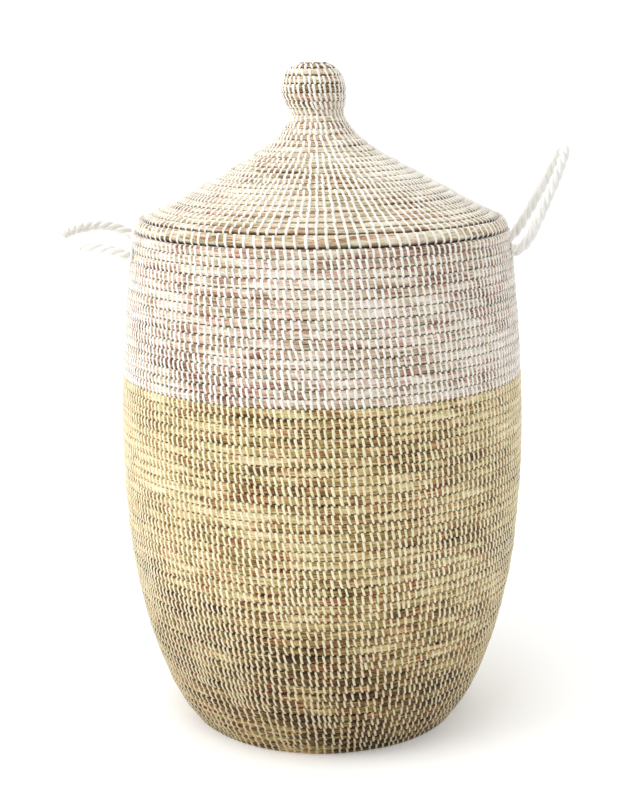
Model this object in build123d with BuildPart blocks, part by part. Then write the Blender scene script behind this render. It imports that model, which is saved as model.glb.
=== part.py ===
from build123d import *
from math import asin, cos, radians, sin, tan
import os

# Coiled grass laundry hamper with a conical lid and two rope handles.
# Millimetres, +Z up. The origin is the centre of the base's resting face.
# The two handles stand on the X axis, the left one at -X.

# ---- driving dimensions: body --------------------------------------------------------------
wall_thickness = 9.4        # grass bundle, crest to crest
groove_depth = 1.5          # how far the groove between two rows goes in
lower_rows = 41             # rows sewn with yellow strip, above the foot row
upper_rows = 15             # rows sewn with white strip, below the rim row
foot_radius = 144.4         # centre of the foot row's section
rim_radius = 194.4
rim_height = 525.5
rim_section_radius = 4.5

# ---- driving dimensions: base --------------------------------------------------------------
base_thickness = 8.6
base_rows = 14
start_knot_radius = 11.0
foot_inner_radius = 138.0

# ---- driving dimensions: lid ---------------------------------------------------------------
edge_section_radius = 6.6   # the lid's last row is thicker than the others
edge_ring_radius = 188.4
edge_height = 535.3
locating_section_radius = 4.2
locating_ring_radius = 182.4
locating_height = 526.3
lid_rows = 17
neck_rows = 4
ball_rows = 8
knob_thickness = 7.0
button_radius = 7.3
button_bottom = 693.2
button_top = 700.5

# ---- driving dimensions: handles -----------------------------------------------------------
rope_radius = 5.4
handle_height = 510.0
left_leg_spacing = 60.0     # half the distance between the handle's legs at the wall
right_leg_spacing = 46.0
pivot_standoff = 8.0        # the loop bends about an axis this far outside the wall
end_gap = 0.6               # between the held leg and the round end of the loop
lashing_section_radius = 1.3
knot_turn_radius = 5.6
knot_section_radius = 3.0
seat = 0.05                 # play between the rope and what is bound round it
wall_clearance = 0.5        # the knots and lashings stand this far off the wall's crest at mid height

os.makedirs("parts", exist_ok=True)


def write(builder, label):
    """Name a finished piece and write it as its own STEP file."""
    builder.part.label = label
    export_step(builder.part, f"parts/{label}.step")


def meridian(points):
    """A smooth line through (radius, height) points: the centre line of the rows' sections."""
    with BuildLine(Plane.XZ) as line:
        Spline(*points)
    return line.edges()[0]


def beside(curve, distance, offset):
    """The (radius, height) point at a length along the meridian, offset to its outside."""
    at = curve.position_at(distance, position_mode=PositionMode.LENGTH)
    along = curve.tangent_at(distance, position_mode=PositionMode.LENGTH)
    return (at.X + along.Z * offset, at.Z - along.X * offset)


def coil_band(curve, start, rows, pitch, thickness):
    """Sewn rows as one ring-shaped wall, with a groove between rows on both faces."""
    crest = thickness / 2
    valley = crest - groove_depth
    with BuildPart() as band:
        with BuildSketch(Plane.XZ):
            with BuildLine():
                for row in range(rows):
                    low = start + row * pitch
                    for side in (1, -1):
                        ThreePointArc(
                            beside(curve, low, side * valley),
                            beside(curve, low + pitch / 2, side * crest),
                            beside(curve, low + pitch, side * valley),
                        )
                for end in (start, start + rows * pitch):
                    Line(beside(curve, end, valley), beside(curve, end, -valley))
            make_face()
        revolve(axis=Axis.Z)
    return band


def round_row(radius, height, section_radius):
    """One closed round row."""
    with BuildPart() as row:
        with BuildSketch(Plane.XZ):
            with Locations((radius, height)):
                Circle(section_radius)
        revolve(axis=Axis.Z)
    return row


# ---- the wall's centre line, from the foot row to the rim row --------------------------------
wall = meridian([
    (foot_radius, wall_thickness / 2),
    (159.8, 29.0),
    (175.4, 64.5),
    (190.9, 116.5),
    (202.7, 178.5),
    (208.8, 252.0),
    (210.0, 330.0),
    (205.3, 418.0),
    (199.6, 482.0),
    (rim_radius, rim_height),
])
pitch = wall.length / (lower_rows + upper_rows + 1)
foot_top = pitch / 2
lower_top = foot_top + lower_rows * pitch
upper_top = lower_top + upper_rows * pitch
wall_crest = wall_thickness / 2
wall_valley = wall_crest - groove_depth

# ---- base: the start knot, the flat turns and the foot row -----------------------------------
with BuildPart() as base_start_knot:
    with BuildSketch(Plane.XY):
        Circle(start_knot_radius)
    extrude(amount=base_thickness - groove_depth)
    with BuildSketch(Plane.XY.offset(base_thickness - groove_depth)):
        Circle(start_knot_radius / 2)
    extrude(amount=groove_depth)
    fillet(base_start_knot.edges().group_by(Axis.Z)[-1], groove_depth * 0.6)
write(base_start_knot, "base_start_knot")

# level underneath, with a round crest for each turn on top
turn_width = (foot_inner_radius - start_knot_radius) / base_rows
turn_edge = base_thickness - groove_depth
with BuildPart() as base_coil:
    with BuildSketch(Plane.XZ):
        with BuildLine():
            Polyline(
                (start_knot_radius, turn_edge),
                (start_knot_radius, 0),
                (foot_inner_radius, 0),
                (foot_inner_radius, turn_edge),
            )
            for row in range(base_rows):
                near = start_knot_radius + row * turn_width
                ThreePointArc(
                    (near, turn_edge),
                    (near + turn_width / 2, base_thickness),
                    (near + turn_width, turn_edge),
                )
        make_face()
    revolve(axis=Axis.Z)
write(base_coil, "base_coil")

# round outside, flat where the base meets it and where it stands
foot_flat = (foot_radius + 1.5, 0)
with BuildPart() as foot_coil:
    with BuildSketch(Plane.XZ):
        with BuildLine():
            top_in = beside(wall, foot_top, -wall_valley)
            top_out = beside(wall, foot_top, wall_valley)
            Polyline(foot_flat, (foot_inner_radius, 0), (foot_inner_radius, turn_edge), top_in, top_out)
            ThreePointArc(top_out, beside(wall, 0, wall_crest), foot_flat)
        make_face()
    revolve(axis=Axis.Z)
write(foot_coil, "foot_coil")

# ---- wall ------------------------------------------------------------------------------------
lower_wall_coil = coil_band(wall, foot_top, lower_rows, pitch, wall_thickness)
write(lower_wall_coil, "lower_wall_coil")
upper_wall_rows = coil_band(wall, lower_top, upper_rows, pitch, wall_thickness)
rim_coil = round_row(rim_radius, rim_height, rim_section_radius)
write(rim_coil, "rim_coil")

# ---- where the handles' legs cross the wall --------------------------------------------------
def radius_at(curve, height):
    """The meridian's radius at a height, found by halving."""
    low, high = 0.0, curve.length
    while high - low > 0.001:
        middle = (low + high) / 2
        if curve.position_at(middle, position_mode=PositionMode.LENGTH).Z < height:
            low = middle
        else:
            high = middle
    return curve.position_at(low, position_mode=PositionMode.LENGTH).X


wall_outside = radius_at(wall, handle_height) + wall_crest
wall_inside = wall_outside - wall_thickness


def leg_plane(side, leg_spacing, leg, distance):
    """A plane across one leg, which crosses the wall square to it, at a distance from the axis."""
    swing = asin(leg_spacing / wall_outside)
    outward = (side * cos(swing), leg * sin(swing), 0)
    origin = (outward[0] * distance, outward[1] * distance, handle_height)
    return Plane(origin=origin, z_dir=outward)


handles = {"left": (-1, left_leg_spacing), "right": (1, right_leg_spacing)}
legs = {"front": -1, "back": 1}

# ---- the held end of each leg: stub through the wall, lashing outside it, knot inside it -----
knot_depth = 2 * wall_clearance + 3.6 * knot_section_radius
stub_inner_end = wall_inside - knot_depth
stub_outer_end = wall_outside + pivot_standoff - rope_radius - end_gap

for handle, (side, leg_spacing) in handles.items():
    for leg, leg_side in legs.items():
        with BuildPart() as stub:
            with BuildSketch(leg_plane(side, leg_spacing, leg_side, stub_inner_end)):
                Circle(rope_radius)
            extrude(amount=stub_outer_end - stub_inner_end)
        write(stub, f"{handle}_handle_{leg}_stub")

        ring_place = leg_plane(
            side, leg_spacing, leg_side, wall_outside + lashing_section_radius + wall_clearance
        )
        with BuildPart(ring_place) as lashing:
            Torus(rope_radius + lashing_section_radius + seat, lashing_section_radius)
        write(lashing, f"{handle}_handle_{leg}_lashing")

        with BuildPart() as knot:
            for depth in (1.0, 2.6):
                turn_distance = wall_inside - 2 * wall_clearance - depth * knot_section_radius
                with Locations(leg_plane(side, leg_spacing, leg_side, turn_distance)):
                    Torus(knot_turn_radius, knot_section_radius)
            with BuildSketch(leg_plane(side, leg_spacing, leg_side, stub_inner_end - 1)):
                Circle(rope_radius + seat)
            extrude(amount=knot_depth + 2, mode=Mode.SUBTRACT)
        write(knot, f"{handle}_handle_{leg}_knot")


# the legs pass through between the rows of the upper wall
with BuildPart() as upper_wall_coil:
    add(upper_wall_rows.part)
    for side, leg_spacing in handles.values():
        for leg_side in legs.values():
            with BuildSketch(leg_plane(side, leg_spacing, leg_side, wall_inside - wall_thickness)):
                Circle(rope_radius + seat)
            extrude(amount=3 * wall_thickness, mode=Mode.SUBTRACT)
write(upper_wall_coil, "upper_wall_coil")

# ---- lid -------------------------------------------------------------------------------------
cone = meridian([(183.4, 540.6), (150.3, 557.0), (107.9, 580.8), (61.6, 605.9), (42.5, 620.2)])
lid_cone_coil = coil_band(cone, 0, lid_rows, cone.length / lid_rows, wall_thickness)
write(lid_cone_coil, "lid_cone_coil")
lid_edge_coil = round_row(edge_ring_radius, edge_height, edge_section_radius)
write(lid_edge_coil, "lid_edge_coil")
lid_locating_ring = round_row(locating_ring_radius, locating_height, locating_section_radius)
write(lid_locating_ring, "lid_locating_ring")

# ---- knob: neck and ball of thinner rows wound on a core -------------------------------------
knob = meridian([
    (39.4, 622.9),
    (31.4, 632.6),
    (25.4, 643.5),
    (24.6, 650.5),
    (28.2, 660.0),
    (30.2, 670.5),
    (27.6, 682.0),
    (20.0, 691.5),
    (8.6, 697.0),
])
knob_pitch = knob.length / (neck_rows + ball_rows)
neck_top = neck_rows * knob_pitch
knob_neck_coil = coil_band(knob, 0, neck_rows, knob_pitch, knob_thickness)
write(knob_neck_coil, "knob_neck_coil")
knob_ball_coil = coil_band(knob, neck_top, ball_rows, knob_pitch, knob_thickness)
write(knob_ball_coil, "knob_ball_coil")

with BuildPart() as knob_core:
    with BuildSketch(Plane.XZ):
        with BuildLine():
            Spline(
                (24.0, 630.0),
                (20.3, 641.5),
                (20.0, 650.0),
                (23.8, 661.0),
                (25.6, 670.5),
                (22.8, 681.0),
                (14.0, 689.2),
                (0, 692.0),
            )
            Polyline((0, 692.0), (0, 630.0), (24.0, 630.0))
        make_face()
    revolve(axis=Axis.Z)
write(knob_core, "knob_core")

with BuildPart() as knob_top_button:
    with BuildSketch(Plane.XY.offset(button_bottom)):
        Circle(button_radius - 1.2)
    extrude(amount=button_top - button_bottom)
    fillet(knob_top_button.edges().group_by(Axis.Z)[-1], 2.4)
write(knob_top_button, "knob_top_button")

# ---- handle loops: points of each rope's centre line as (outward, along +Y, up) ---------------
# They start and end on the axis that the loop bends about; the end turns are the rope's own.
def loop_ends(leg_spacing):
    """Where a loop's two ends lie: distance from the basket's axis, and half their spacing."""
    swing = asin(leg_spacing / wall_outside)
    reach = wall_outside + pivot_standoff
    return reach * cos(swing), reach * sin(swing)


left_pivot, left_half = loop_ends(left_leg_spacing)
right_pivot, right_half = loop_ends(right_leg_spacing)

left_route = [
    (0, -left_half, 0),
    (16, -61, 5),
    (42, -55, 8),
    (63, -38, 9),
    (74, -12, 12),
    (72, 16, 15),
    (57, 42, 18),
    (34, 57, 18),
    (14, 61, 11),
    (0, left_half, 0),
]
right_route = [
    (0, -right_half, 0),
    (9, -46, 10),
    (21, -38, 32),
    (33, -31, 58),
    (44, -22, 83),
    (50, -9, 98),
    (50, 9, 98),
    (44, 22, 83),
    (33, 31, 58),
    (21, 38, 32),
    (9, 46, 10),
    (0, right_half, 0),
]


def bend_radii(points):
    """As large an arc at each corner as the two runs beside it allow."""
    largest = []
    for before, corner, after in zip(points, points[1:], points[2:]):
        first = Vector(*corner) - Vector(*before)
        second = Vector(*after) - Vector(*corner)
        half_turn = radians(first.get_angle(second) / 2)
        largest.append(0.45 * min(first.length, second.length) / tan(half_turn))
    return largest


def rope_loop(side, pivot, route):
    """A loop of rope with round ends centred on its bending axis."""
    points = [(side * (pivot + out), along, handle_height + up) for out, along, up in route]
    with BuildLine() as line:
        FilletPolyline(*points, radius=bend_radii(points))
    path = line.wires()[0]
    with BuildPart() as rope:
        with BuildSketch(Plane(origin=path @ 0, z_dir=path % 0)):
            Circle(rope_radius)
        sweep(path=path)
        with Locations(path @ 0, path @ 1):
            Sphere(rope_radius)
    print("rope length", round(path.length, 1), "tightest bend", round(min(bend_radii(points)), 1))
    return rope


left_handle_rope = rope_loop(-1, left_pivot, left_route)
write(left_handle_rope, "left_handle_rope")
right_handle_rope = rope_loop(1, right_pivot, right_route)
write(right_handle_rope, "right_handle_rope")
print("pivots", round(left_pivot, 2), round(right_pivot, 2), "leg ends", round(left_half, 2), round(right_half, 2))
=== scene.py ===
import math

import bpy
import numpy as np
from mathutils import Matrix, Vector


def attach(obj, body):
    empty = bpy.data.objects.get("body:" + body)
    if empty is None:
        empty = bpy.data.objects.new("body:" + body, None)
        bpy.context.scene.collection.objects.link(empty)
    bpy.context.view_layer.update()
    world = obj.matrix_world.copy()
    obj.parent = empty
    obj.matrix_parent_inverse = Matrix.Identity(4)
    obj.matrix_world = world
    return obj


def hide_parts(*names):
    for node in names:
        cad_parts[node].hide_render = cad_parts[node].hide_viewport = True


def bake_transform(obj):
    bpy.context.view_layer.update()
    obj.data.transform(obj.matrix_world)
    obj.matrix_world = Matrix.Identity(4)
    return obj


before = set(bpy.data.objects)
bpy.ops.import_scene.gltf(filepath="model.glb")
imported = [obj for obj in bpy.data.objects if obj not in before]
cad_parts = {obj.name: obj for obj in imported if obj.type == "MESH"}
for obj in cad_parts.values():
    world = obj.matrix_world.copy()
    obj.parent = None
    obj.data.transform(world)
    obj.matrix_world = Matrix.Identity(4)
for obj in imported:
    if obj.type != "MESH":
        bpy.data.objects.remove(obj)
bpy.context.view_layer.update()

# A tall coiled grass basket: one bundle of grass wound up in rows, each row sewn to the last
# with a flat plastic strip, yellow below and white above. Lid and knob are sewn the same way.
# Lengths are millimetres until a mesh is made.

MM = 0.001
TURN = 2 * math.pi

# ---- sizes -----------------------------------------------------------------------------------
wall_points = [
    (144.4, 5.2), (159.8, 29.0), (175.4, 64.5), (190.9, 116.5), (202.7, 178.5),
    (208.8, 252.0), (210.0, 330.0), (205.3, 418.0), (199.6, 482.0), (194.4, 525.5),
]
cone_points = [(183.4, 540.6), (150.3, 557.0), (107.9, 580.8), (61.6, 605.9), (42.5, 620.2)]
knob_points = [
    (42.5, 620.2), (32.4, 631.5), (25.4, 643.5), (24.6, 650.5), (28.0, 660.0),
    (30.2, 670.5), (28.8, 682.0), (23.4, 691.3), (13.5, 696.8), (7.0, 696.6),
]
base_points = [(11.0, 4.9), (60.0, 4.9), (100.0, 4.9), (138.0, 4.9)]
centre_points = [(1.0, 4.9), (4.0, 4.9), (7.5, 4.9), (11.0, 4.9)]
wall_rows = 57
yellow_rows = 42
cone_rows = 17
knob_rows = 12
base_rows = 14
bundle = 4.7                # half the thickness of the grass bundle
knob_bundle = 3.5
strip_width = 3.3
strip_rise = 0.45           # how far the strip stands off the grass
stitch_lean = 0.25          # sideways run of a stitch for its height, as a tangent
run_on = 12                 # how far a meridian carries on straight past both its ends
neck_shift = 2.2            # the lid's neck stands this far left of the basket's axis
ball_shift = 4.6            # and the ball this much further


class Meridian:
    """The line through the rows' sections: radius and height against length from its start."""

    def __init__(self, points):
        pts = np.array(points, float)
        ends = np.vstack([2 * pts[0] - pts[1], pts, 2 * pts[-1] - pts[-2]])
        t = np.linspace(0, 1, 60, endpoint=False)[:, None]
        spans = []
        for p0, p1, p2, p3 in zip(ends, ends[1:], ends[2:], ends[3:]):
            spans.append(0.5 * (2 * p1 + (p2 - p0) * t + (2 * p0 - 5 * p1 + 4 * p2 - p3) * t ** 2
                                + (3 * p1 - p0 - 3 * p2 + p3) * t ** 3))
        line = np.vstack(spans + [pts[-1:]])
        first = line[0] + (line[0] - line[1]) / np.linalg.norm(line[0] - line[1]) * run_on
        last = line[-1] + (line[-1] - line[-2]) / np.linalg.norm(line[-1] - line[-2]) * run_on
        line = np.vstack([first, line, last])
        steps = np.linalg.norm(np.diff(line, axis=0), axis=1)
        self.length = steps[1:-1].sum()
        self.s = np.concatenate([[0], np.cumsum(steps)]) - run_on
        self.line = line
        along = np.gradient(line, self.s, axis=0)
        self.along = along / np.linalg.norm(along, axis=1)[:, None]

    def at(self, s):
        """Point, upward tangent and outward normal, each as radius and height."""
        point = np.stack([np.interp(s, self.s, self.line[:, i]) for i in (0, 1)], -1)
        along = np.stack([np.interp(s, self.s, self.along[:, i]) for i in (0, 1)], -1)
        along /= np.linalg.norm(along, axis=-1)[..., None]
        return point, along, np.stack([along[..., 1], -along[..., 0]], -1)


def wobble(turns, seed, size):
    """Smooth hand-made unevenness along the coil."""
    rates = (0.73, 2.17, 5.39, 11.3)    # waves in a turn
    draw = np.random.default_rng(seed)
    total = np.zeros_like(turns)
    for rate in rates:
        total += np.sin(TURN * (turns * rate * draw.uniform(0.9, 1.1) + draw.uniform())) / len(rates)
    return size * total * 1.6


class Coil:
    """A bundle wound in touching rows between two level edges, tapering out at both ends."""

    def __init__(self, points, rows, half, spacing, seed, lead=0.0, climb=0.15, most=400, uneven=0.32):
        self.meridian = Meridian(points)
        self.rows = rows
        self.half = half                # half the bundle's thickness, as (row, half) pairs
        self.pitch = self.meridian.length / rows
        self.start = -lead * self.pitch
        self.seed = seed
        self.climb = climb              # share of a turn in which the bundle climbs to its next row
        self.uneven = uneven
        self.columns = self.place_stitches(spacing, most)

    def edge(self, turns):
        """Length along the meridian of the groove under the row at a number of turns."""
        inside = np.clip(turns, 0, self.rows)
        whole = np.floor(inside)
        level = whole + np.clip((inside - whole - 1 + self.climb) / self.climb, 0, 1)
        fade = np.clip(np.minimum(turns, self.rows - turns), 0, 1)
        return self.start + self.pitch * level + fade * wobble(turns, self.seed, self.uneven)

    def place_stitches(self, spacing, most):
        """Angles of the stitches of each row; columns carry on from row to row, some are added."""
        draw = np.random.default_rng(self.seed + 7)
        angles = None
        columns = []
        for row in range(-1, self.rows):
            point = self.meridian.at(self.start + self.pitch * (row + 1))[0]
            gap = np.interp(row, *zip(*spacing))
            wanted = int(max(5, min(most, TURN * (point[0] + 3.0) / gap)))
            if angles is None:
                angles = np.arange(wanted) * TURN / wanted
            while len(angles) < wanted:
                gaps = np.diff(np.append(angles, angles[0] + TURN))
                widest = np.argmax(gaps + draw.uniform(0, 0.004, len(gaps)))
                angles = np.insert(angles, widest + 1, angles[widest] + gaps[widest] / 2)
            while len(angles) > wanted:
                gaps = np.diff(np.append(angles, angles[0] + TURN))
                tight = np.argmin(gaps + np.roll(gaps, 1) + draw.uniform(0, 0.004, len(gaps)))
                angles = np.delete(angles, tight)
            for _ in range(4):
                before = np.roll(angles, 1)
                before[0] -= TURN
                after = np.roll(angles, -1)
                after[-1] += TURN
                angles = angles + 0.3 * ((before + after) / 2 - angles)
            jitter = draw.normal(0, 0.05, len(angles)) * TURN / len(angles)
            columns.append(np.sort(np.clip(angles + jitter, 0.002, TURN - 0.002)))
        return columns

    def frame_at(self, turns):
        """Centre, tangent, normal, half height and half thickness of the bundle at some turns."""
        low = self.edge(turns)
        high = self.edge(turns + 1)
        point, along, out = self.meridian.at((low + high) / 2)
        tall = (high - low) / 2
        half = np.interp(turns, *zip(*self.half))
        thick = half * np.clip(tall / (0.42 * self.pitch), 0.12, 1)
        point = point + out * (half * wobble(turns, self.seed + 3, 0.07))[..., None]
        return point, along, out, tall, thick


class Ring:
    """One closed level row."""

    def __init__(self, radius, height, half, angles, seed, tilt=0.0, uneven=0.3):
        self.place = np.array([radius, height])
        self.along = np.array([-math.sin(tilt), math.cos(tilt)])
        self.half = half
        self.pitch = 2 * half
        self.columns = [angles, angles]
        self.seed = seed
        self.uneven = uneven

    def frame_at(self, turns):
        draw = np.random.default_rng(self.seed)
        shift = sum(np.sin(TURN * (turns * k + draw.uniform())) for k in (3, 8, 17)) / 3
        out = np.array([self.along[1], -self.along[0]])
        point = self.place + self.uneven * shift[..., None] * (self.along + 0.4 * out)
        along = np.broadcast_to(self.along, point.shape)
        half = np.full_like(turns, self.half)
        return point, along, np.broadcast_to(out, point.shape), half, half


class Pile:
    """Gathers tubes and strips and turns them into one mesh with its own baking layout."""

    def __init__(self):
        self.points, self.faces, self.layout, self.fields, self.count = [], [], [], {}, 0

    def add(self, points, faces, layout, **fields):
        self.faces.append(faces + self.count)
        self.points.append(points)
        self.layout.append(layout)
        for name, values in fields.items():
            self.fields.setdefault(name, []).append(np.asarray(values, float))
        self.count += len(points)

    def build(self, name, material, body, replaces, leans=False):
        points = np.vstack(self.points)
        if leans:
            points = leaning(points)
        faces = np.vstack(self.faces)
        for part, layout in enumerate(self.layout):
            layout[..., 1] = (part + 0.01 + 0.98 * layout[..., 1]) / len(self.layout)
        mesh = bpy.data.meshes.new(name)
        mesh.vertices.add(len(points))
        mesh.vertices.foreach_set("co", (points * MM).astype(np.float32).ravel())
        mesh.loops.add(faces.size)
        mesh.loops.foreach_set("vertex_index", faces.astype(np.int32).ravel())
        mesh.polygons.add(len(faces))
        mesh.polygons.foreach_set("loop_start", np.arange(0, faces.size, 4, dtype=np.int32))
        mesh.polygons.foreach_set("use_smooth", np.ones(len(faces), bool))
        mesh.update(calc_edges=True)
        layer = mesh.uv_layers.new(name="OFBake")
        layer.data.foreach_set("uv", np.vstack(self.layout).astype(np.float32).ravel())
        for field, parts in self.fields.items():
            values = np.concatenate(parts).astype(np.float32)
            kind = "FLOAT_VECTOR" if values.ndim == 2 else "FLOAT"
            attribute = mesh.attributes.new(field, kind, "POINT")
            attribute.data.foreach_set("vector" if values.ndim == 2 else "value", values.ravel())
        mesh.materials.append(material)
        piece = bpy.data.objects.new(name, mesh)
        bpy.context.scene.collection.objects.link(piece)
        if isinstance(body, str):
            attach(piece, body)
        else:
            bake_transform(piece)
        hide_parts(*replaces)
        return piece


def leaning(points):
    """The lid's points moved over to the left, more and more towards the top of the knob."""
    points = points.copy()
    height = points[:, 2]
    points[:, 0] -= neck_shift * np.clip((height - 560) / 60, 0, 1)
    points[:, 0] -= ball_shift * np.clip((height - 645) / 25, 0, 1)
    return points


def tube_faces(rings, around):
    """Quads of a tube of rings of points, facing out, and their places in a 0 to 1 square."""
    ring, step = np.meshgrid(np.arange(rings - 1), np.arange(around), indexing="ij")
    after = (step + 1) % around
    corners = [(ring, step, step), (ring + 1, step, step),
               (ring + 1, after, step + 1), (ring, after, step + 1)]
    faces = np.stack([r * around + s for r, s, _ in corners], -1).reshape(-1, 4)
    layout = np.stack([np.stack([r / (rings - 1), v / around], -1) for r, _, v in corners], -2)
    return faces, layout.reshape(-1, 4, 2)


def squarish(angle, power):
    """Outward and upward shares of a section squarer than round; the power is 1 for a round one."""
    across, up = np.cos(angle), np.sin(angle)
    return np.sign(across) * np.abs(across) ** power, np.sign(up) * np.abs(up) ** power


def in_space(section, theta):
    """Points from radius and height at an angle round the axis; rows begin and end at the back."""
    turn = theta + TURN / 4
    return np.stack([section[..., 0] * np.cos(turn), section[..., 0] * np.sin(turn), section[..., 1]], -1)


def wind_grass(pile, coil, first, last, tone):
    """The grass of rows first to last - 1, pinched at each stitch and swollen between stitches."""
    around = 10
    across, up = squarish((np.arange(around) + 0.5) * TURN / around, 0.66)
    turns, swell, rows = [], [], []
    for row in range(first, last):
        pinch = coil.columns[row + 1]
        between = (pinch[1:] + pinch[:-1]) / 2
        spots = np.concatenate([[0.0], pinch, between])
        fat = np.concatenate([[1.0], np.full(len(pinch), 0.95), np.full(len(between), 1.03)])
        order = np.argsort(spots)
        if row < 0:
            order = order[spots[order] > TURN * (1 - getattr(coil, "climb", 1))]
        turns.append(row + spots[order] / TURN)
        swell.append(fat[order])
        rows.append(np.full(len(order), row))
    turns = np.concatenate(turns + [[float(last)]])
    swell = np.concatenate(swell + [[1.0]])
    rows = np.concatenate(rows + [[last - 1]])
    point, along, out, tall, thick = coil.frame_at(turns)
    sideways = (thick * swell)[:, None] * across
    upward = (tall * (0.5 + 0.5 * swell))[:, None] * up * 1.02
    section = point[:, None] + out[:, None] * sideways[..., None] + along[:, None] * upward[..., None]
    theta = np.broadcast_to((turns * TURN)[:, None], sideways.shape)
    shape = in_space(section, theta)
    faces, layout = tube_faces(len(turns), around)
    layout = layout.reshape(len(turns) - 1, around, 4, 2)
    part = turns - rows
    layout[:, :, (0, 3), 0] = part[:-1, None, None]
    layout[:, :, (1, 2), 0] = np.where(rows[1:] == rows[:-1], part[1:], 1.0)[:, None, None]
    layout[..., 1] = ((rows[:-1] - first)[:, None, None] + 0.03 + 0.94 * layout[..., 1]) / (last - first)
    steps = np.linalg.norm(np.diff(shape.mean(1), axis=0), axis=1)
    length = np.concatenate([[0], np.cumsum(steps)]) + first * 1731.0 + coil.seed * 97.0
    length = np.broadcast_to(length[:, None], sideways.shape)
    pile.add(
        shape.reshape(-1, 3), faces, layout.reshape(-1, 4, 2),
        bundle=np.stack([length, sideways, upward], -1).reshape(-1, 3),
        # the up share across the section, from which the grass material paints shade into the grooves
        level=np.broadcast_to(up, sideways.shape).ravel(),
        tone=tone(section[..., 1], theta, rows[:, None]).ravel(),
    )


def sew(pile, coil, first, last, lean, width=strip_width):
    """A flat strip wrapped round the bundle at every stitch of rows first to last - 1."""
    draw = np.random.default_rng(coil.seed * 100 + first + 2)
    around = 12
    angle = (np.arange(around) + 0.5) * TURN / around
    flat, up = squarish(angle, 0.5)
    turns = np.concatenate([row + coil.columns[row + 1] / TURN for row in range(first, last)])
    turns = turns[coil.frame_at(turns)[3] > 0.2 * coil.pitch]
    point, along, out, tall, thick = coil.frame_at(turns)
    count = len(turns)
    # the strip draws narrower towards the foot
    drawn = np.interp(point[:, 1], [20, 200], [0.78, 0.96])
    wide = width * drawn * draw.normal(1, 0.1, count).clip(0.75, 1.25)
    slant = tall * (lean + draw.normal(0, 0.05, count))
    # one edge under the grass, the two shoulders, the other edge
    lane = np.array([-0.5, -0.36, 0.36, 0.5])
    rise = np.array([-0.35, strip_rise, strip_rise, -0.35])
    side = (thick * 0.95)[:, None, None] * flat[:, None] + rise * np.cos(angle)[:, None]
    # the lower end crosses the groove and goes in just under the row below's top
    reach = tall[:, None, None] * 0.98 * up[:, None] - 1.3 * np.clip(-up, 0, 1)[:, None] ** 3
    high = reach + rise * np.sin(angle)[:, None] * 0.5
    # narrower where it goes into the groove, and leaning more towards its lower end
    taper = np.where(up > 0, 1 - 0.1 * up ** 4, 1 - 0.3 * up ** 4)
    slide = wide[:, None, None] * lane * taper[:, None]
    slide = slide + (slant[:, None] * (0.35 * up ** 2 - up))[..., None]
    section = point[:, None, None] + out[:, None, None] * side[..., None]
    section = section + along[:, None, None] * high[..., None]
    shape = in_space(section, (turns * TURN)[:, None, None] + slide / section[..., 0])
    step, strand = np.meshgrid(np.arange(around), np.arange(4), indexing="ij")
    corners = [(step, strand), (step, strand + 1), (step + 1, strand + 1), (step + 1, strand)]
    quads = np.stack([s % around * 4 + a % 4 for s, a in corners], -1).reshape(-1, 4)
    faces = (np.arange(count)[:, None, None] * around * 4 + quads).reshape(-1, 4)
    cells = math.ceil(math.sqrt(count))
    cell = np.stack([np.arange(count) % cells, np.arange(count) // cells], -1)
    spread = np.stack([np.stack([s / around, a / 4], -1) for s, a in corners], -2).reshape(-1, 4, 2)
    layout = (cell[:, None, None] + 0.05 + 0.9 * spread) / cells
    around_it = np.stack(np.broadcast_arrays(angle[:, None] * 4.7, lane * width), -1)
    spot = np.broadcast_to(around_it, (count, around, 4, 2)).reshape(-1, 2)
    each = np.repeat(np.arange(count), around * 4)
    pile.add(
        shape.reshape(-1, 3), faces, layout.reshape(-1, 4, 2),
        strip=np.column_stack([spot, each * 3.7]),
        shade=draw.uniform(0, 1, count)[each],
        # painted shade, darker towards the foot
        dust=np.clip((200.0 - shape[..., 2].ravel()) / 190.0, 0, 1),
    )


def smooth_line(points, step):
    """Evenly spaced points on a smooth line through the given ones."""
    pts = np.array(points, float)
    ends = np.vstack([2 * pts[0] - pts[1], pts, 2 * pts[-1] - pts[-2]])
    spans = []
    for p0, p1, p2, p3 in zip(ends, ends[1:], ends[2:], ends[3:]):
        a = np.linalg.norm(p1 - p0) ** 0.5
        b = np.linalg.norm(p2 - p1) ** 0.5
        c = np.linalg.norm(p3 - p2) ** 0.5
        m1 = (p1 - p0) / a * b + (p2 - p1) - (p2 - p0) / (a + b) * b
        m2 = (p2 - p1) + (p3 - p2) / c * b - (p3 - p1) / (b + c) * b
        t = np.linspace(0, 1, 40, endpoint=False)[:, None]
        spans.append((2 * t ** 3 - 3 * t ** 2 + 1) * p1 + (t ** 3 - 2 * t ** 2 + t) * m1
                     + (3 * t ** 2 - 2 * t ** 3) * p2 + (t ** 3 - t ** 2) * m2)
    line = np.vstack(spans + [pts[-1:]])
    run = np.concatenate([[0], np.cumsum(np.linalg.norm(np.diff(line, axis=0), axis=1))])
    wanted = np.linspace(0, run[-1], int(run[-1] / step) + 1)
    return np.stack([np.interp(wanted, run, line[:, i]) for i in range(3)], -1)


def frames_along(line):
    """Two sideways directions at each point of a line, turning as little as they can."""
    tangent = np.gradient(line, axis=0)
    tangent /= np.linalg.norm(tangent, axis=1)[:, None]
    side = np.cross(tangent[0], (0.0, 0.3, 1.0))
    sides = []
    for t in tangent:
        side = side - t * np.dot(side, t)
        side = side / np.linalg.norm(side)
        sides.append(side)
    sides = np.array(sides)
    return sides, np.cross(sides, tangent)


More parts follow.
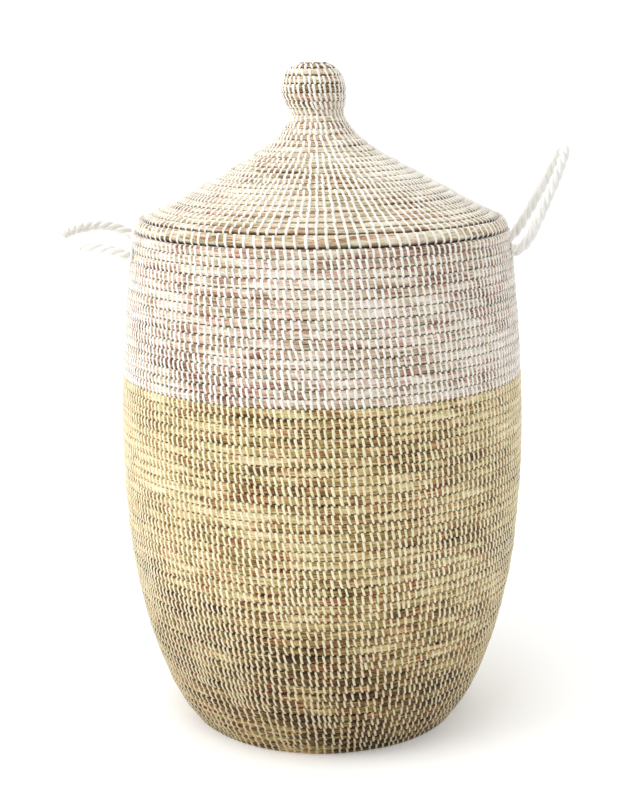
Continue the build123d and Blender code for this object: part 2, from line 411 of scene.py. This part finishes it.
def lay_tube(pile, line, half, around, shade=0.5):
    """A tube along a line, its ends closed by shrinking; half may change along it."""
    one, two = frames_along(line)
    angle = np.arange(around) * TURN / around
    half = np.broadcast_to(half, len(line)).copy()
    shape = (line[:, None] + one[:, None] * (half[:, None] * np.cos(angle))[..., None]
             + two[:, None] * (half[:, None] * np.sin(angle))[..., None])
    faces, layout = tube_faces(len(line), around)
    run = np.concatenate([[0], np.cumsum(np.linalg.norm(np.diff(line, axis=0), axis=1))])
    spot = np.stack(np.broadcast_arrays(run[:, None], half[:, None] * angle, shade * 40.0), -1)
    pile.add(shape.reshape(-1, 3), faces, layout, strip=spot.reshape(-1, 3),
             shade=np.full(len(line) * around, shade), dust=np.zeros(len(line) * around))


def closed_ends(line, half):
    """Half thickness along a tube whose ends are rounded off."""
    run = np.concatenate([[0], np.cumsum(np.linalg.norm(np.diff(line, axis=0), axis=1))])
    near = np.clip(np.minimum(run, run[-1] - run) / half, 0, 1)
    return half * np.sqrt(np.clip(1 - (1 - near) ** 2, 0.0004, 1))


# ---- materials -------------------------------------------------------------------------------
def linear(code):
    """An sRGB hex colour as linear values with alpha."""
    channels = [int(code[i:i + 2], 16) / 255 for i in (1, 3, 5)]
    return [c / 12.92 if c <= 0.04045 else ((c + 0.055) / 1.055) ** 2.4 for c in channels] + [1.0]


def start_material(name):
    material = bpy.data.materials.new(name)
    material.use_nodes = True
    material.node_tree.nodes.clear()
    return material.node_tree


def add_node(tree, kind, links=None, values=None, stops=None, **settings):
    """One node with its settings, its values, its colour stops and what is linked into it."""
    made = tree.nodes.new(kind)
    for key, value in settings.items():
        setattr(made, key, value)
    for key, value in (values or {}).items():
        made.inputs[key].default_value = value
    for key, source in (links or {}).items():
        tree.links.new(source, made.inputs[key])
    for place, code in stops or ():
        element = made.color_ramp.elements.new(place)
        element.color = linear(code)
    if stops:
        made.color_ramp.elements.remove(made.color_ramp.elements[0])
        made.color_ramp.elements.remove(made.color_ramp.elements[-1])
    return made


def dried_grass(name, olives, reds, shadow, red_share):
    """Bundled dry grass: matt, in streaks of two casts, straw to olive and pink to red-brown, that
    change every few centimetres. Single blades show as lines along the row; painted shade darkens the
    grooves."""
    tree = start_material(name)
    bundle = add_node(tree, "ShaderNodeAttribute", attribute_name="bundle").outputs["Vector"]
    tone = add_node(tree, "ShaderNodeAttribute", attribute_name="tone").outputs["Fac"]
    level = add_node(tree, "ShaderNodeAttribute", attribute_name="level").outputs["Fac"]
    # along and across the row, in waves to the millimetre: tufts about 45 mm long and as deep as
    # the row; blades about 15 mm long, drawn 1.5 mm wide because at 0.8 mm they are too fine to
    # show; changes of cast about 35 mm long; and the fine relief of the blades
    scales = [(0.022, 0.17, 2.0, 0.6), (0.07, 0.66, 3.0, 0.7), (0.03, 0.24, 2.0, 0.6), (0.05, 2.2, 1.0, 0.5)]
    noises = []
    for long_way, short_way, detail, roughness in scales:
        place = add_node(tree, "ShaderNodeVectorMath", {0: bundle},
                         {1: (long_way, short_way, short_way)}, operation="MULTIPLY")
        noise = add_node(tree, "ShaderNodeTexNoise", {"Vector": place.outputs[0]},
                         {"Scale": 1.0, "Detail": detail, "Roughness": roughness})
        noises.append(noise.outputs["Fac"])
    tuft, blade, cast, lines = noises
    tufts = add_node(tree, "ShaderNodeMath", {0: tuft, 2: tone}, {1: 1.35}, operation="MULTIPLY_ADD")
    both = add_node(tree, "ShaderNodeMath", {0: blade, 2: tufts.outputs[0]}, {1: 1.5},
                    operation="MULTIPLY_ADD")
    shown = add_node(tree, "ShaderNodeMath", {0: both.outputs[0]}, {1: 0.93}, operation="SUBTRACT")
    olive = add_node(tree, "ShaderNodeValToRGB", {"Fac": shown.outputs[0]}, stops=olives)
    red = add_node(tree, "ShaderNodeValToRGB", {"Fac": shown.outputs[0]}, stops=reds)
    which = add_node(tree, "ShaderNodeMapRange", {"Value": cast},
                     {"From Min": 0.6 - 0.3 * red_share, "From Max": 0.7 - 0.3 * red_share})
    colour = add_node(tree, "ShaderNodeMix",
                      {0: which.outputs["Result"], 6: olive.outputs["Color"], 7: red.outputs["Color"]},
                      data_type="RGBA")
    # painted shade: dark in the groove under the row, where the row above overhangs it, and less so in the
    # groove over it
    low = add_node(tree, "ShaderNodeMapRange", {"Value": level},
                   {"From Min": -0.66, "From Max": -1.0, "To Min": 0.0, "To Max": 0.95},
                   interpolation_type="SMOOTHSTEP")
    top = add_node(tree, "ShaderNodeMapRange", {"Value": level},
                   {"From Min": 0.92, "From Max": 1.0, "To Min": 0.0, "To Max": 0.5},
                   interpolation_type="SMOOTHSTEP")
    deep = add_node(tree, "ShaderNodeMath", {0: low.outputs["Result"], 1: top.outputs["Result"]},
                    operation="MAXIMUM")
    shaded = add_node(tree, "ShaderNodeMix", {0: deep.outputs[0], 6: colour.outputs[2]},
                      {7: linear(shadow)}, data_type="RGBA")
    relief = add_node(tree, "ShaderNodeBump", {"Height": lines}, {"Strength": 0.6, "Distance": 0.0006})
    surface = add_node(tree, "ShaderNodeBsdfPrincipled",
                       {"Base Color": shaded.outputs[2], "Normal": relief.outputs["Normal"]},
                       {"Roughness": 0.75, "Sheen Weight": 0.08, "Sheen Roughness": 0.5,
                        "Specular IOR Level": 0.25})
    add_node(tree, "ShaderNodeOutputMaterial", {"Surface": surface.outputs["BSDF"]})
    return bpy.data.materials[name]


def plastic_strip(name, light, dull, roughness):
    """Polypropylene strip: a soft sheen, faint creases along it, each stitch a little different."""
    tree = start_material(name)
    strip = add_node(tree, "ShaderNodeAttribute", attribute_name="strip").outputs["Vector"]
    shade = add_node(tree, "ShaderNodeAttribute", attribute_name="shade").outputs["Fac"]
    # creases about 15 mm long and 0.6 mm apart
    place = add_node(tree, "ShaderNodeVectorMath", {0: strip}, {1: (0.07, 1.7, 1.0)},
                     operation="MULTIPLY")
    streak = add_node(tree, "ShaderNodeTexNoise", {"Vector": place.outputs[0]},
                      {"Scale": 1.0, "Detail": 2.0, "Roughness": 0.5})
    mixed = add_node(tree, "ShaderNodeMath", {0: shade, 2: streak.outputs["Fac"]}, {1: 0.45},
                     operation="MULTIPLY_ADD")
    clean = add_node(tree, "ShaderNodeValToRGB", {"Fac": mixed.outputs[0]},
                     stops=[(0.35, light), (0.95, dull)])
    # painted shade: the strip is darker and duller towards the foot, where the lower wall gets less light
    dust = add_node(tree, "ShaderNodeAttribute", attribute_name="dust").outputs["Fac"]
    colour = add_node(tree, "ShaderNodeMix", {0: dust, 6: clean.outputs["Color"]},
                      {7: linear("#cbbd98")}, data_type="RGBA")
    relief = add_node(tree, "ShaderNodeBump", {"Height": streak.outputs["Fac"]},
                      {"Strength": 0.4, "Distance": 0.0005})
    surface = add_node(tree, "ShaderNodeBsdfPrincipled",
                       {"Base Color": colour.outputs[2], "Normal": relief.outputs["Normal"]},
                       {"Roughness": roughness, "IOR": 1.49})
    add_node(tree, "ShaderNodeOutputMaterial", {"Surface": surface.outputs["BSDF"]})
    return bpy.data.materials[name]


def pale_to_dark(codes):
    """The stops of a grass ramp: pale blades first, the darkest last."""
    return list(zip((0.05, 0.28, 0.45, 0.6, 0.76, 0.95), codes.split()))


# pale grass, about half of it with a pink cast
upper_grass = dried_grass(
    "dried_grass_of_the_upper_wall",
    pale_to_dark("#f0eadc #dfd6c1 #c8bca0 #a5967a #76644c #3e2c1c"),
    pale_to_dark("#f1e5da #e1cdbd #cdab98 #ad806c #7e5042 #42261e"),
    "#2b1a12", 0.5)
# olive and gold grass with near-black and red-brown streaks
lower_grass = dried_grass(
    "dried_grass_of_the_lower_wall",
    pale_to_dark("#ece0bb #d6c592 #b8a56c #937d47 #65502a #2e2010"),
    pale_to_dark("#eedcb9 #d9bd8d #bd9162 #966440 #683c24 #331d11"),
    "#1f150b", 0.4)
# the palest grass, which makes the lid lighter than the wall: partly its own paler colour, partly painted
# light for the lid, which faces up into the light
lid_grass = dried_grass(
    "dried_grass_of_the_lid",
    pale_to_dark("#f5f1e2 #e8e1ca #d8ceb0 #c0b18c #95805a #523c25"),
    pale_to_dark("#f5ebde #e9d8c3 #d9bca0 #bf967a #95684e #553424"),
    "#3a2719", 0.4)
white_strip = plastic_strip("white_polypropylene_strip", "#fdfcf8", "#efece2", 0.4)
yellow_strip = plastic_strip("pale_yellow_polypropylene_strip", "#f8f1d3", "#e8ddb8", 0.4)
# twisted from fine threads: faint streaks along each strand, and a little glossier than the strip
white_rope = plastic_strip("white_polypropylene_rope", "#fafaf8", "#e6e4de", 0.36)


# ---- where the grass is darker, and the painted shade low on the wall ------------------------
def wall_tone(height, theta, row):
    """Browner low on the wall, partly the grass's own colour and partly painted shade where the lower wall
    faces down, away from the light; each row has its own cast, and patches run into each other.
    """
    low = np.clip((300 - height) / 260, 0, 1)
    cast = 0.07 * np.sin(row * 2.399) + 0.05 * np.sin(row * 5.13 + 1.7)
    patch = 0.04 * np.sin(theta * 2 + row * 0.21) + 0.04 * np.sin(theta * 5 + row * 0.7 + 2)
    return -0.02 + 0.27 * low + 0.4 * cast + 1.8 * patch


def lid_tone(height, theta, row):
    cast = 0.07 * np.sin(row * 2.399 + 1) + 0.05 * np.sin(row * 5.13)
    return 0.4 * cast + 0.07 * np.sin(theta * 3 + row * 0.5)


def knob_tone(height, theta, row):
    """The rows round the middle of the ball are of dark brown grass."""
    return 0.06 + 0.22 * np.exp(-((height - 671) / 8.0) ** 2) + 0.04 * np.sin(row * 2.4 + theta)


def even_tone(height, theta, row):
    return 0.03 + 0 * height


# ---- sewn rows -------------------------------------------------------------------------------
upper_look = (upper_grass, white_strip, "grass_white_sewn")
lower_look = (lower_grass, yellow_strip, "grass_yellow_sewn")
lid_look = (lid_grass, white_strip, "grass_white_sewn")


def sewn_rows(name, coil, first, last, tone, lean, look, body, nodes, leans=False, width=strip_width):
    """Rows first to last - 1 of a coil: their grass, and the strips that bind it."""
    grass_material, strip_material, slot = look
    grass = Pile()
    wind_grass(grass, coil, first, last, tone)
    grass.build(name + "_grass", grass_material, body, nodes, leans)
    strips = Pile()
    sew(strips, coil, first, last, lean, width)
    strips.build(name + "_stitches", strip_material, body, nodes, leans)


# ---- wall ------------------------------------------------------------------------------------
wall = Coil(wall_points, wall_rows, [(0, bundle)], [(0, 7.7), (20, 7.0)], 3, lead=0.5)
bands = [
    ("foot", -1, 1), ("lower_wall_1", 1, 9), ("lower_wall_2", 9, 17), ("lower_wall_3", 17, 25),
    ("lower_wall_4", 25, 33), ("lower_wall_5", 33, 42), ("upper_wall_1", 42, 49), ("upper_wall_2", 49, 57),
]
for name, first, last in bands:
    look = lower_look if last <= yellow_rows else upper_look
    node_name = name.rstrip("_12345") + "_coil"
    sewn_rows(name, wall, first, last, wall_tone, stitch_lean, look, "basket", [node_name])

rim = Ring(194.4, 525.5, 4.5, wall.columns[-1], 5)
sewn_rows("rim", rim, 0, 1, wall_tone, 0.2, upper_look, "basket", ["rim_coil"])

# ---- base ------------------------------------------------------------------------------------
base = Coil(base_points, base_rows, [(0, 4.2)], [(0, 7.0), (14, 7.0)], 11, uneven=0.25)
centre = Coil(centre_points, 1, [(0, 4.2)], [(0, 6.0), (1, 6.0)], 12, climb=1.0, uneven=0.0)
for name, coil, node_name in (("base", base, "base_coil"), ("base_centre", centre, "base_start_knot")):
    sewn_rows(name, coil, -1, coil.rows, even_tone, 0.1, lower_look, "basket", [node_name])

# ---- lid -------------------------------------------------------------------------------------
cone = Coil(cone_points, cone_rows, [(0, bundle)], [(0, 6.3), (17, 6.2)], 21, most=123)
edge = Ring(188.4, 535.3, 6.5, cone.columns[1], 22, tilt=0.5, uneven=0.5)
locating = Ring(182.4, 526.3, 4.0, np.arange(150) * TURN / 150 + 0.01, 23, uneven=0.1)
knob = Coil(knob_points, knob_rows, [(0, bundle), (3, knob_bundle)], [(0, 5.6), (12, 5.4)], 24, uneven=0.3)
lid_parts = [
    ("lid_cone", cone, -1, cone_rows, lid_tone, 0.14, ["lid_cone_coil"]),
    ("lid_edge", edge, 0, 1, lid_tone, 0.14, ["lid_edge_coil"]),
    ("lid_locating_ring", locating, 0, 1, even_tone, 0.14, ["lid_locating_ring"]),
    ("knob", knob, -1, knob_rows, knob_tone, 0.22, ["knob_neck_coil", "knob_ball_coil"]),
]
for name, coil, first, last, tone, lean, nodes in lid_parts:
    sewn_rows(name, coil, first, last, tone, lean, lid_look, "lid", nodes, leans=True)

# ---- knob stuffing and top -------------------------------------------------------------------
core_points = [(24.0, 630.0), (20.3, 641.5), (20.0, 650.0), (23.8, 661.0), (25.6, 670.5),
               (22.8, 681.0), (14.0, 689.2), (0.3, 692.0)]
profile = Meridian(core_points)
outline = np.vstack([[(0.3, 630.0)], profile.at(np.linspace(0, profile.length, 40))[0]])
spokes = 49                 # the last lies on the first, so the quads between those two go
section, theta = np.meshgrid(np.arange(len(outline)), np.linspace(0, TURN, spokes), indexing="ij")
shape = in_space(outline[section], theta)
faces, layout = tube_faces(len(outline), spokes)
keep = np.abs(faces[:, 0] - faces[:, 3]) < 2
stuffing = Pile()
stuffing.add(shape.reshape(-1, 3), faces[keep][:, ::-1], layout[keep],
             bundle=np.stack([theta * 22, section * 2.0, section * 0.0], -1).reshape(-1, 3),
             level=np.zeros(theta.size), tone=np.full(theta.size, 0.1))
stuffing.build("knob_stuffing", lid_grass, "lid", ["knob_core"], leans=True)

# a small coil closes the knob, with the last strips crossing it
button_points = [(0.6, 697.0), (2.6, 697.0), (4.8, 697.0), (7.0, 696.8)]
button = Coil(button_points, 1, [(0, 2.6)], [(0, 4.5), (1, 4.5)], 31, climb=1.0, uneven=0.0)
sewn_rows("knob_top", button, -1, 1, knob_tone, 0.1, lid_look, "lid", ["knob_top_button"],
          leans=True, width=2.0)

# ---- handles ---------------------------------------------------------------------------------
wall_outside, wall_inside = 201.4, 192.0    # at the height of the handles
handle_height = 510.0
pivot_reach = wall_outside + 8.0            # a leg bends this far from the basket's axis
lashing_half = 0.95
lashing_reach = 5.9                         # from the leg's middle to the binding's
knot_half = 2.9
strand_half = 2.75
strand_lay = 34.0                           # a full turn of the rope's three strands
rope_step = 1.2
upward = np.array([0, 0, 1.0])
# the loops, leg to leg: out from the bending line, along it, and up
left_route = [(16, -61, 5), (42, -55, 8), (63, -38, 9), (74, -12, 12), (72, 16, 15), (57, 42, 18),
              (34, 57, 18), (14, 61, 11)]
right_route = [(9, -46, 10), (21, -38, 32), (33, -31, 58), (44, -22, 83), (50, -9, 98), (50, 9, 98),
               (44, 22, 83), (33, 31, 58), (21, 38, 32), (9, 46, 10)]
handles = [
    ("left", -1, 60.0, left_route, 199.56, (-0.196, 0, 0.510), (-0.209, 0, 0.510)),
    ("right", 1, 46.0, right_route, 203.54, (0.2020, 0, 0.5074), (0.2105, 0, 0.5221)),
]
for name, side, spacing, route, pivot, still, free in handles:
    swing = math.asin(spacing / wall_outside)
    lift = upward * handle_height
    ends = {}
    for leg, leg_side in (("front", -1), ("back", 1)):
        outward = np.array([side * math.cos(swing), leg_side * math.sin(swing), 0.0])
        reaches = (wall_inside - 11.0, wall_inside - 5, wall_outside, pivot_reach - 2)
        ends[leg] = [outward * reach + lift for reach in reaches]
        # a little over two turns of strip bind each leg where it leaves the wall
        sideways = np.cross(outward, (0, 0, 1.0))
        turn = np.linspace(0, 2.4 * TURN, 90)[:, None]
        run = wall_outside + 0.9 + 2.0 * turn / turn[-1]
        ring = outward * run + lift + lashing_reach * (sideways * np.cos(turn) + upward * np.sin(turn))
        lashing_name = name + "_handle_" + leg + "_lashing"
        lashing = Pile()
        lay_tube(lashing, ring, closed_ends(ring, lashing_half), 8)
        lashing.build(lashing_name, white_strip, "basket", [lashing_name])
        # a knot on the inside stops the leg from pulling through
        t = np.linspace(0, TURN, 121)[:, None]
        loop = 2.5 * (sideways * (np.sin(t) + 2 * np.sin(2 * t)) + upward * (np.cos(t) - 2 * np.cos(2 * t)))
        loop = loop + outward * (wall_inside - 6.4 - 2.4 * np.sin(3 * t)) + lift
        knot_name = name + "_handle_" + leg + "_knot"
        knot = Pile()
        lay_tube(knot, loop, knot_half, 12)
        knot.build(knot_name, white_rope, "basket", [knot_name])
    middle = [np.array([side * (pivot + out), along, handle_height + up]) for out, along, up in route]
    line = smooth_line(ends["front"] + middle + ends["back"][::-1], rope_step)
    one, two = frames_along(line)
    run = np.arange(len(line)) * rope_step
    rope = Pile()
    for strand in range(3):
        turn = (TURN * (run / strand_lay + strand / 3))[:, None]
        path = line + strand_half * (one * np.cos(turn) + two * np.sin(turn))
        lay_tube(rope, path, closed_ends(path, strand_half), 12, shade=0.3 + 0.2 * strand)
    rope.build(name + "_handle_rope", white_rope, ("basket", name + "_handle", still, free),
               [name + "_handle_rope", name + "_handle_front_stub", name + "_handle_back_stub"])

# ---- floor, light and camera -----------------------------------------------------------------
# matt white paper, given a faint glow of its own so that it stays white up to the basket's foot
floor_tree = start_material("white_paper")
paper = add_node(floor_tree, "ShaderNodeBsdfPrincipled", values={
    "Base Color": linear("#f6f6f5"), "Roughness": 0.9,
    "Emission Color": linear("#ffffff"), "Emission Strength": 0.22})
add_node(floor_tree, "ShaderNodeOutputMaterial", {"Surface": paper.outputs["BSDF"]})
floor_reach = 30
corners = [(x * floor_reach, y * floor_reach, 0) for x, y in ((-1, -1), (1, -1), (1, 1), (-1, 1))]
floor_mesh = bpy.data.meshes.new("floor")
floor_mesh.from_pydata(corners, [], [(0, 1, 2, 3)])
floor_mesh.materials.append(bpy.data.materials["white_paper"])
floor = bpy.data.objects.new("floor", floor_mesh)
bpy.context.scene.collection.objects.link(floor)

world = bpy.data.worlds.new("studio")
world.use_nodes = True
# a white cove behind and beside the basket, darker room in front of it
background = world.node_tree.nodes["Background"]
background.inputs["Color"].default_value = linear("#ffffff")
towards = add_node(world.node_tree, "ShaderNodeTexCoord")
shares = add_node(world.node_tree, "ShaderNodeSeparateXYZ", {0: towards.outputs["Generated"]})
glow = add_node(world.node_tree, "ShaderNodeMapRange", {"Value": shares.outputs["Y"]},
                {"From Min": -0.9, "From Max": 0.1, "To Min": 0.33, "To Max": 1.07},
                interpolation_type="SMOOTHSTEP")
world.node_tree.links.new(glow.outputs["Result"], background.inputs["Strength"])
bpy.context.scene.world = world
bpy.context.scene.view_settings.view_transform = "Standard"

softboxes = [
    ("left_softbox", (-2.2, -0.9, 1.5), (0, 0, 0.5), 1.6, 29),
    ("top_softbox", (-0.4, -0.9, 2.6), (0, 0, 0.5), 1.2, 18),
]
for name, place, target, size, power in softboxes:
    light = bpy.data.lights.new(name, "AREA")
    light.size = size
    light.energy = power
    lamp = bpy.data.objects.new(name, light)
    lamp.location = place
    lamp.rotation_euler = (Vector(place) - Vector(target)).to_track_quat("Z", "Y").to_euler()
    bpy.context.scene.collection.objects.link(lamp)

camera = bpy.data.cameras.new("camera")
camera.sensor_fit = "HORIZONTAL"
camera.sensor_width = 36.0
camera.lens = 83.76
view = bpy.data.objects.new("camera", camera)
view.location = (-0.0021, -1.5735, 0.6945)
tilt = Matrix.Rotation(math.radians(90 - 12.57), 3, "X") @ Matrix.Rotation(math.radians(-0.45), 3, "Z")
view.rotation_euler = tilt.to_euler()
bpy.context.scene.collection.objects.link(view)
bpy.context.scene.camera = view
